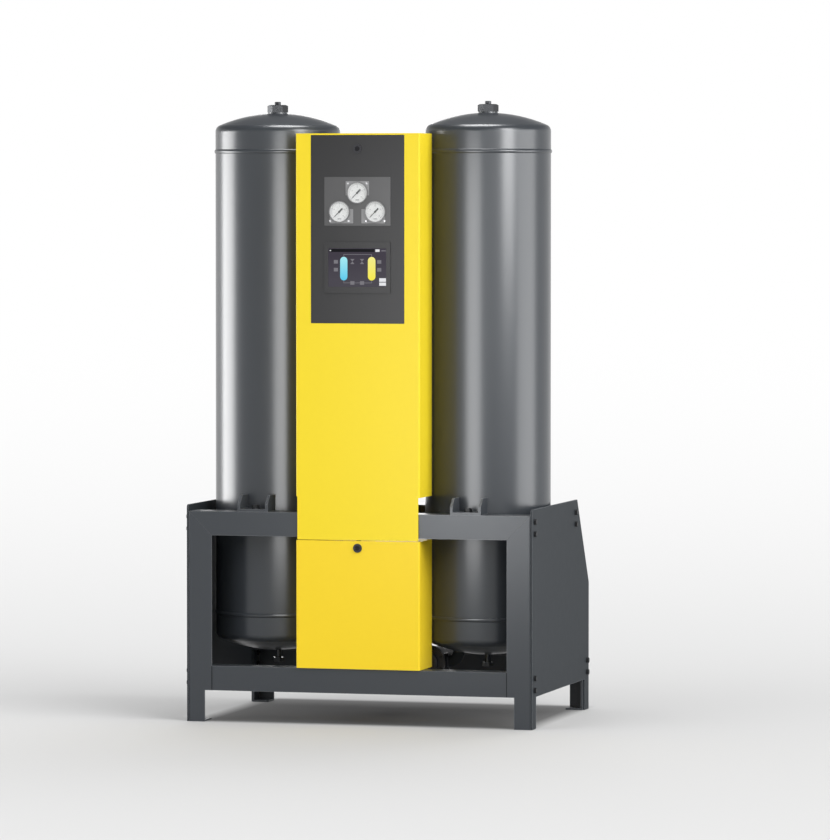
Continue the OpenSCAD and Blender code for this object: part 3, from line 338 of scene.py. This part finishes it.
COATS = {
    "vessel_paint": dict(
        colour=ANTHRACITE, rough=0.28, specular=0.5, peel=0.008, grain=700.0, uneven=0.008, gloss=0.004),
    "frame_paint": dict(
        colour=ANTHRACITE, rough=0.40, specular=0.42, peel=0.03, grain=1100.0, edge=EDGE_HIGHLIGHT),
    "side_paint": dict(
        colour=SHADED_SIDE_GREY, rough=0.60, specular=0.12, peel=0.04, grain=1100.0, edge=EDGE_HIGHLIGHT),
    # painted shade for the joint lines of the lower front rail
    "seam_dark": dict(colour=srgb(26, 27, 29), rough=0.7, specular=0.1),
    "bolt_dark": dict(colour=srgb(36, 37, 39), rough=0.5, specular=0.2),
    "valve_grey": dict(colour=srgb(52, 52, 55), rough=0.45, specular=0.3, peel=0.10, grain=500.0),
    "yellow_paint": dict(colour=YELLOW, rough=0.50, specular=0.15, peel=0.03, uneven=0.01),
    "deep_yellow": dict(colour=SHADED_YELLOW, rough=0.50, specular=0.15, peel=0.03, uneven=0.01),
    "panel_grey": dict(colour=srgb(44, 44, 45), rough=0.48, specular=0.2, grain=1600.0),
    "gauge_plate_grey": dict(colour=srgb(76, 76, 77), rough=0.42, specular=0.3, peel=0.06, grain=1800.0),
    "carrier_grey": dict(colour=srgb(132, 132, 133), rough=0.45, specular=0.3, grain=1500.0),
}
METALS = {
    "zinc": dict(colour=(0.58, 0.59, 0.61), rough=0.36),
    "screw_zinc": dict(colour=(0.40, 0.40, 0.41), rough=0.50),
    "plug_steel": dict(colour=(0.055, 0.057, 0.060), rough=0.26),
    "brass": dict(colour=(0.72, 0.53, 0.22), rough=0.30, grain=300.0, stretch=(40, 1, 1)),
}
PLASTICS = {
    "black_plastic": dict(colour=BLACK, rough=0.42),
    "bezel_grey": dict(colour=srgb(45, 45, 46), rough=0.48, specular=0.2),
    "lock_ring": dict(colour=srgb(44, 44, 48), rough=0.40, specular=0.2, grain=900.0, peel=0.06),
    "lock_black": dict(colour=srgb(18, 18, 22), rough=0.45, specular=0.12, grain=900.0, peel=0.06),
    "sleeve_black": dict(colour=(0.03, 0.03, 0.032), rough=0.55, specular=0.4, grain=600.0, peel=0.4),
    "tube_blue": dict(colour=(0.03, 0.10, 0.42), rough=0.25, grain=800.0, peel=0.03),
}
INKS = {
    "dial_white": dict(colour=srgb(238, 238, 237)),
    "ink_black": dict(colour=(0.02, 0.02, 0.02)),
    "ink_grey": dict(colour=srgb(120, 120, 122)),
    "ink_pale": dict(colour=srgb(168, 168, 170)),
}
LIT_AREAS = {
    "screen": dict(colour=srgb(62, 57, 67), foot=srgb(72, 69, 77)),
    "ui_black": dict(colour=(0.003, 0.003, 0.004)),
    "ui_white": dict(colour=srgb(232, 233, 236)),
    "ui_grey": dict(colour=srgb(122, 120, 126)),
    "ui_blue": dict(colour=srgb(168, 238, 246), foot=srgb(88, 205, 240)),
    "ui_yellow": dict(colour=srgb(244, 238, 140), foot=srgb(250, 236, 70)),
}


def make_finishes():
    made = {
        "gauge_case": rimmed_case("gauge_case", DIAL_Y, srgb(116, 116, 117), BLACK),
        "glass": clear_glass("glass"),
        "beads": beads("beads", (0.80, 0.77, 0.70), (0.40, 0.38, 0.33)),
    }
    kinds = ((coated, COATS), (metal, METALS), (plastic, PLASTICS), (printed, INKS), (lit, LIT_AREAS))
    for kind, members in kinds:
        for name, values in members.items():
            made[name] = kind(name, **values)
    return made


# Finish of every CAD node

DRESSED = {
    "frame_paint": """front_frame rear_top_rail rear_base
        left_vessel_brackets right_vessel_brackets outlet_pipe inlet_pipe""",
    "side_paint": "left_side_plate right_side_plate connection_bends",
    "vessel_paint": "left_vessel right_vessel drain_plugs",
    "plug_steel": "left_fill_plug right_fill_plug vent_plugs",
    "bolt_dark": "side_plate_bolts bracket_bolts bonnet_bolts",
    "valve_grey": """upper_manifold lower_manifold left_inlet_valve right_inlet_valve left_valve_bonnet
        right_valve_bonnet""",
    "yellow_paint": "upper_cover",
    # lower cover gets the shaded copy of the cover yellow, as painted shade
    "deep_yellow": "lower_cover",
    "panel_grey": "control_panel",
    "gauge_plate_grey": "gauge_plate",
    "carrier_grey": "gauge_backplates",
    "zinc": "lower_screens upper_screens cover_chassis dew_point_sensor",
    "brass": "left_check_valve right_check_valve purge_orifice",
    "gauge_case": "top_gauge_case left_gauge_case right_gauge_case",
    "black_plastic": "controller_box pilot_valve_block",
    "bezel_grey": "display_bezel",
    "lock_ring": "upper_lock_collar lower_lock_collar",
    "lock_black": "upper_lock_core lower_lock_core",
    "sleeve_black": "left_silencer right_silencer",
    "dial_white": "gauge_dials",
    "ink_black": "top_gauge_pointer left_gauge_pointer right_gauge_pointer",
    "glass": "gauge_lenses",
    "screen": "display_screen",
    "tube_blue": "gauge_tubes",
    "beads": "left_desiccant_bed right_desiccant_bed",
}


def dress_nodes():
    for name, members in DRESSED.items():
        for node in members.split():
            data = nodes[node].data
            if not data.materials:
                data.materials.append(None)
            for index in range(len(data.materials)):
                data.materials[index] = finish[name]


# Mesh helpers; outlines are in x and z, in millimetres


def new_piece(name, mesh, material):
    piece = bpy.data.objects.new(name, mesh)
    bpy.context.scene.collection.objects.link(piece)
    mesh.materials.append(finish[material])
    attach(piece, ROOT)


def add_plate(bm, outline, y_back, thick):
    """Flat plate facing -y, with its back at y_back."""
    front = [bm.verts.new((x * MM, y_back - thick, z * MM)) for x, z in outline]
    back = [bm.verts.new((x * MM, y_back, z * MM)) for x, z in outline]
    bm.faces.new(front)
    bm.faces.new(list(reversed(back)))
    for i in range(len(outline)):
        j = (i + 1) % len(outline)
        bm.faces.new((front[i], back[i], back[j], front[j]))


def plates(name, outlines, y_back, thick, material):
    """One piece of flat plates with the same thickness."""
    bm = bmesh.new()
    for outline in outlines:
        add_plate(bm, outline, y_back, thick)
    bmesh.ops.recalc_face_normals(bm, faces=bm.faces)
    mesh = bpy.data.meshes.new(name)
    bm.to_mesh(mesh)
    bm.free()
    new_piece(name, mesh, material)


def rectangle(x0, x1, z0, z1):
    return [(x0, z0), (x1, z0), (x1, z1), (x0, z1)]


def block(cx, cz, half_w, half_h):
    return rectangle(cx - half_w, cx + half_w, cz - half_h, cz + half_h)


def capsule(x0, x1, z0, z1, steps=10):
    """Upright capsule outline with round ends."""
    r = (x1 - x0) / 2
    cx = (x0 + x1) / 2
    angles = [i * math.pi / steps for i in range(steps + 1)]
    upper = [(cx + r * math.cos(a), z1 - r + r * math.sin(a)) for a in angles]
    lower = [(cx - r * math.cos(a), z0 + r - r * math.sin(a)) for a in angles]
    return upper + lower


def disc(cx, cz, r, steps=20):
    angles = [2 * math.pi * i / steps for i in range(steps)]
    return [(cx + r * math.cos(a), cz + r * math.sin(a)) for a in angles]


def moved(outlines, dx, dz):
    return [[(x + dx, z + dz) for x, z in outline] for outline in outlines]


# Dial printing, in millimetres and degrees

INK = 0.12 * MM
DIAL_START = 225.0
DIAL_SWEEP = 270.0
DIAL_STEPS = 40
DIAL_LABELS = ("0", "4", "8", "12", "16")
LABEL_R = 16.0
LABEL_SIZE = 5.2
LABEL_SMOOTHNESS = 3
TICK_OUTER_R = 24.5
UNIT_MARK_DROP = 20.0
UNIT_MARK_HALF_W = 5.0
UNIT_MARK_HALF_H = 1.5

# Every so many steps, a tick from this inner radius, with this width
TICK_KINDS = ((10, 20.0, 0.8), (5, 21.5, 0.4), (1, 22.5, 0.4))


def gauge_centre(case):
    low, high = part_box(case)
    return ((low.x + high.x) / 2 / MM, (low.z + high.z) / 2 / MM)


GAUGES = [gauge_centre(side + "_gauge_case") for side in ("top", "left", "right")]


def dial_tick(cx, cz, angle, r0, r1, w):
    """Bar that points out from the middle of a dial, between two radii."""
    a = math.radians(angle)
    along = Vector((math.cos(a), math.sin(a)))
    side = Vector((-along.y, along.x)) * w / 2
    centre = Vector((cx, cz))
    corners = [centre + along * r0 - side, centre + along * r1 - side,
               centre + along * r1 + side, centre + along * r0 + side]
    return [tuple(c) for c in corners]


def make_dial_print():
    ticks = []
    for cx, cz in GAUGES:
        for i in range(DIAL_STEPS + 1):
            angle = DIAL_START - DIAL_SWEEP * i / DIAL_STEPS
            r0, w = next((r, w) for every, r, w in TICK_KINDS if i % every == 0)
            ticks.append(dial_tick(cx, cz, angle, r0, TICK_OUTER_R, w))
    marks = [block(cx, cz - UNIT_MARK_DROP, UNIT_MARK_HALF_W, UNIT_MARK_HALF_H) for cx, cz in GAUGES]
    plates("dial_ticks", ticks, DIAL_Y, INK, "ink_grey")
    plates("dial_unit_marks", marks, DIAL_Y, INK, "ink_pale")


def label_mesh(label, x, z):
    """World vertices and faces of one dial number, standing on the dial."""
    curve = bpy.data.curves.new("label", "FONT")
    curve.body = label
    curve.size = LABEL_SIZE * MM
    curve.align_x = "CENTER"
    curve.align_y = "CENTER"
    curve.extrude = INK / 2
    curve.resolution_u = LABEL_SMOOTHNESS
    text = bpy.data.objects.new("label", curve)
    bpy.context.scene.collection.objects.link(text)
    upright = Matrix.Rotation(math.pi / 2, 4, "X")
    text.matrix_world = Matrix.Translation((x * MM, DIAL_Y - INK / 2, z * MM)) @ upright
    bpy.context.view_layer.update()
    mesh = text.evaluated_get(bpy.context.evaluated_depsgraph_get()).to_mesh()
    verts = [tuple(text.matrix_world @ v.co) for v in mesh.vertices]
    faces = [list(p.vertices) for p in mesh.polygons]
    bpy.data.objects.remove(text)
    return verts, faces


def make_dial_numbers():
    verts, faces = [], []
    for cx, cz in GAUGES:
        for i, label in enumerate(DIAL_LABELS):
            a = math.radians(DIAL_START - DIAL_SWEEP * i / (len(DIAL_LABELS) - 1))
            points, polygons = label_mesh(label, cx + LABEL_R * math.cos(a), cz + LABEL_R * math.sin(a))
            faces += [[len(verts) + k for k in polygon] for polygon in polygons]
            verts += points
    mesh = bpy.data.meshes.new("dial_numbers")
    mesh.from_pydata(verts, [], faces)
    new_piece("dial_numbers", mesh, "ink_grey")


# Screws at the outer corners of the gauge carriers: above the top gauge, below the other two

CARRIER_SCREW_DX = 27.0
CARRIER_SCREW_DZ = 26.0
CARRIER_SCREW_R = 2.6
CARRIER_SCREW_H = 0.8 * MM
CARRIER_SCREW_SIDES = (1, -1, -1)


def make_carrier_screws():
    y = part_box("gauge_backplates")[0].y
    screws = []
    for (cx, cz), side in zip(GAUGES, CARRIER_SCREW_SIDES):
        for dx in (-CARRIER_SCREW_DX, CARRIER_SCREW_DX):
            screws.append(disc(cx + dx, cz + side * CARRIER_SCREW_DZ, CARRIER_SCREW_R))
    plates("carrier_screws", screws, y, CARRIER_SCREW_H, "screw_zinc")


# Display graphics, in millimetres from the middle of the screen; four numbers are x0, x1, z0, z1

STATUS_BAR = (-82, 50, 43.5, 52)
STATUS_BLOCKS = ((-80, -76, 46, 49), (53, 65, 44, 51))
CLOCK_BLOCK = (70, 83, 45.5, 48.5)
BUTTONS = ((64, 83.5, -39.5, -29.5), (64, 83.5, -50.5, -41.5))
BLUE_TOWER_X = (-49.5, -28.5)
YELLOW_TOWER_X = (31, 53)
PIPE_X = (-39, 42)
PIPE_HALF_W = 0.7
UPPER_PIPE_Z = (36, 37.4)
LOWER_PIPE_Z = (-43.5, -42.1)
VALVE_X = (-14, 14)
VALVE_HALF_W = 6
VALVE_Z = (10, 17, 24)
SILENCER_Z = (-48, -38)
READOUT_X = (-62, 64)
READOUT_Z = (16, -6)
READOUT_HALF_W = 6
READOUT_HALF_H = 5


def pipe_outlines(z0, z1, foot):
    """A level pipe and its two upright ends, which reach to the towers at height foot."""
    left, right = PIPE_X
    level = rectangle(left - PIPE_HALF_W, right + PIPE_HALF_W, z0, z1)
    ends = [rectangle(x - PIPE_HALF_W, x + PIPE_HALF_W, min(z0, foot), max(z1, foot)) for x in PIPE_X]
    return [level] + ends


def valve_outlines(x):
    """The two facing triangles of a valve sign, and the block of its silencer below."""
    low, middle, high = VALVE_Z
    return [
        [(x - VALVE_HALF_W, high), (x + VALVE_HALF_W, high), (x, middle)],
        [(x - VALVE_HALF_W, low), (x, middle), (x + VALVE_HALF_W, low)],
        rectangle(x - VALVE_HALF_W, x + VALVE_HALF_W, *SILENCER_Z),
    ]


def make_display():
    def layer(name, outlines, material, level=0):
        y = SCREEN_LOW.y - level * INK
        plates(name, moved(outlines, SCREEN_MID_X, SCREEN_MID_Z), y, INK, material)

    layer("ui_status_bar", [rectangle(*STATUS_BAR)], "ui_black")
    layer("ui_status_blocks", [rectangle(*sides) for sides in STATUS_BLOCKS], "ui_white", level=1)
    layer("ui_buttons", [rectangle(*sides) for sides in BUTTONS], "ui_white")
    layer("ui_blue_tower", [capsule(*BLUE_TOWER_X, TOWER_Z0, TOWER_Z1)], "ui_blue")
    layer("ui_yellow_tower", [capsule(*YELLOW_TOWER_X, TOWER_Z0, TOWER_Z1)], "ui_yellow")
    lines = [rectangle(*CLOCK_BLOCK)]
    lines += pipe_outlines(*UPPER_PIPE_Z, TOWER_Z1)
    lines += pipe_outlines(*LOWER_PIPE_Z, TOWER_Z0)
    for x in VALVE_X:
        lines += valve_outlines(x)
    lines += [block(x, z, READOUT_HALF_W, READOUT_HALF_H) for x in READOUT_X for z in READOUT_Z]
    layer("ui_lines", lines, "ui_grey")


# Painted shadow lines where the lower front rail butts against the posts, standing in for the shade in the
# joints, in millimetres

POST_INNER_X = 430.0
RAIL_LOW = 89.5
RAIL_HIGH = 158.0
SEAM_W = 2.0
SEAM_H = 0.15 * MM


def make_rail_seams():
    front_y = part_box("front_frame")[0].y
    seams = [rectangle(x - SEAM_W / 2, x + SEAM_W / 2, RAIL_LOW, RAIL_HIGH)
             for x in (-POST_INNER_X, POST_INNER_X)]
    plates("rail_seam_shadows", seams, front_y, SEAM_H, "seam_dark")


# Stage

FLOOR_SIZE = 200.0
FLOOR_DROP = 0.0005
FADE_LENGTH = 7.0
FLOOR_GREY = (0.53, 0.53, 0.53)
# Painted shadow under the unit: how much it darkens the floor colour, its soft edge and its reach behind the
# unit, in metres
UNDER_SHADE = 0.28
UNDER_EDGE = 0.06
UNDER_BACK = 0.10


def painted_shadow_under_unit(f):
    """Mask of the painted shadow: 1 on the floor under the unit and just behind it, falling to 0 at the edge
    of that area.
    """
    mask = 1.0
    for axis, low, high in (("X", cad_low.x, cad_high.x), ("Y", cad_low.y, cad_high.y + UNDER_BACK)):
        half = (high - low) / 2
        off = f.math("ABSOLUTE", f.math("SUBTRACT", f.along(axis), low + half))
        mask = f.math("MULTIPLY", f.span(off, 1.0, 0.0, half - UNDER_EDGE, half), mask)
    return mask


def floor_finish():
    """Matt grey with a painted shadow under the unit, that fades to white further off where the camera sees
    it.
    """
    f = Finish("floor_pale")
    grey = f.blend(painted_shadow_under_unit(f), rgba(FLOOR_GREY), rgba(FLOOR_GREY, UNDER_SHADE))
    pale = f.node("ShaderNodeBsdfDiffuse", Color=grey)
    radius = f.vector_math("LENGTH", f.place())
    kept = f.math("EXPONENT", f.math("DIVIDE", radius, -FADE_LENGTH))
    fade = f.math("MULTIPLY", f.math("SUBTRACT", 1.0, kept), f.seen())
    white = f.node("ShaderNodeEmission", Color=WHITE)
    f.put(f.tree.nodes["Material Output"], "Surface", f.mix_shader(fade, pale.outputs[0], white.outputs[0]))
    return f.material


def make_stage():
    """Floor that keeps the unit's shadow, deepened by a painted shadow under the unit."""
    h = FLOOR_SIZE / 2
    mesh = bpy.data.meshes.new("floor")
    mesh.from_pydata([(-h, -h, 0), (h, -h, 0), (h, h, 0), (-h, h, 0)], [], [(0, 1, 2, 3)])
    mesh.materials.append(floor_finish())
    floor = bpy.data.objects.new("floor", mesh)
    floor.location.z = -FLOOR_DROP
    bpy.context.scene.collection.objects.link(floor)


# World; heights are the upward part of a direction, 0 at the horizon and 1 straight up

FILL_LOW = 0.15
FILL_HIGH = 0.95
CEILING = 0.20
CEILING_START = 0.05
CEILING_END = 0.40


def make_world():
    """White near the horizon and grey overhead where it is seen; the light it gives is mostly from above."""
    world = bpy.data.worlds.new("studio")
    world.use_nodes = True
    bpy.context.scene.world = world
    t = Tree(world.node_tree)
    t.tree.nodes.clear()
    direction = t.node("ShaderNodeTexCoord").outputs["Generated"]
    up = t.node("ShaderNodeSeparateXYZ", Vector=direction).outputs["Z"]
    fill_level = t.span(up, FILL_LOW, FILL_HIGH)
    shown_level = t.span(up, 1.0, CEILING, CEILING_START, CEILING_END)
    fill = t.node("ShaderNodeBackground", Color=WHITE, Strength=fill_level)
    shown = t.node("ShaderNodeBackground", Color=WHITE, Strength=shown_level)
    surface = t.mix_shader(t.seen(), fill.outputs[0], shown.outputs[0])
    t.node("ShaderNodeOutputWorld", Surface=surface)


# Lamps

# Softboxes for the streaks on the glossy paint: middle, point faced, width, height and radiance
STRIPS = {
    "left_strip": ((-2.61, -0.26, 0.85), (-0.31, -0.26, 0.85), 1.44, 2.0, 12.0),
    "front_strip": ((0.12, -1.13, 1.03), (0.12, 0.0, 1.03), 0.48, 1.26, 7.7),
    "right_strip": ((2.41, -0.20, 0.9), (0.31, -0.20, 0.9), 1.50, 2.6, 5.0),
    "right_high": ((2.02, -1.47, 1.39), (0.31, -0.08, 1.39), 0.85, 0.34, 8.6),
    "right_top": ((2.02, -1.47, 2.39), (0.31, -0.08, 2.39), 0.85, 1.66, 15.0),
    "right_wash": ((2.03, -2.54, 1.8), (0.31, -0.08, 1.8), 3.06, 2.0, 1.4),
    "top_gloss": ((0.05, -0.1, 3.6), (0.05, -0.1, 1.7), 1.2, 1.2, 16.0),
    "back_strip": ((-0.9, 2.6, 1.1), (0.0, 0.0, 1.1), 0.7, 2.0, 5.0),
}

# Wide far lights: degrees from the front to the right, degrees up, and level (1 shows a colour as written)
FILLS = {
    "key": (66, 32, 0.72),
    "left_fill": (-40, 32, 0.20),
    "back_fill": (180, 35, 0.45),
}
FILL_SPREAD = math.radians(50.0)
FILL_DISTANCE = 5.0


def hang(name, data, place, direction, glossy):
    """Lamp that only reflections see, or that only lights surfaces; the camera never sees it."""
    lamp = bpy.data.objects.new(name, data)
    lamp.location = place
    lamp.rotation_euler = Vector(direction).to_track_quat("-Z", "Y").to_euler()
    lamp.visible_camera = False
    lamp.visible_transmission = False
    lamp.visible_glossy = glossy
    lamp.visible_diffuse = not glossy
    bpy.context.scene.collection.objects.link(lamp)


def hang_strip(name, place, aim, width, height, radiance):
    data = bpy.data.lights.new(name, "AREA")
    data.shape = "RECTANGLE"
    data.size = width
    data.size_y = height
    data.energy = radiance * math.pi * width * height
    hang(name, data, place, Vector(aim) - Vector(place), glossy=True)


def hang_fill(name, azimuth, elevation, level):
    az, el = math.radians(azimuth), math.radians(elevation)
    toward = Vector((math.sin(az) * math.cos(el), -math.cos(az) * math.cos(el), math.sin(el)))
    data = bpy.data.lights.new(name, "SUN")
    data.angle = FILL_SPREAD
    data.energy = level * math.pi
    hang(name, data, toward * FILL_DISTANCE, -toward, glossy=False)


def make_lights():
    for name, values in STRIPS.items():
        hang_strip(name, *values)
    for name, values in FILLS.items():
        hang_fill(name, *values)


finish = make_finishes()
make_camera()
dress_nodes()
make_dial_print()
make_dial_numbers()
make_carrier_screws()
make_display()
make_rail_seams()
make_stage()
make_world()
make_lights()

bpy.context.scene.view_settings.view_transform = "Standard"
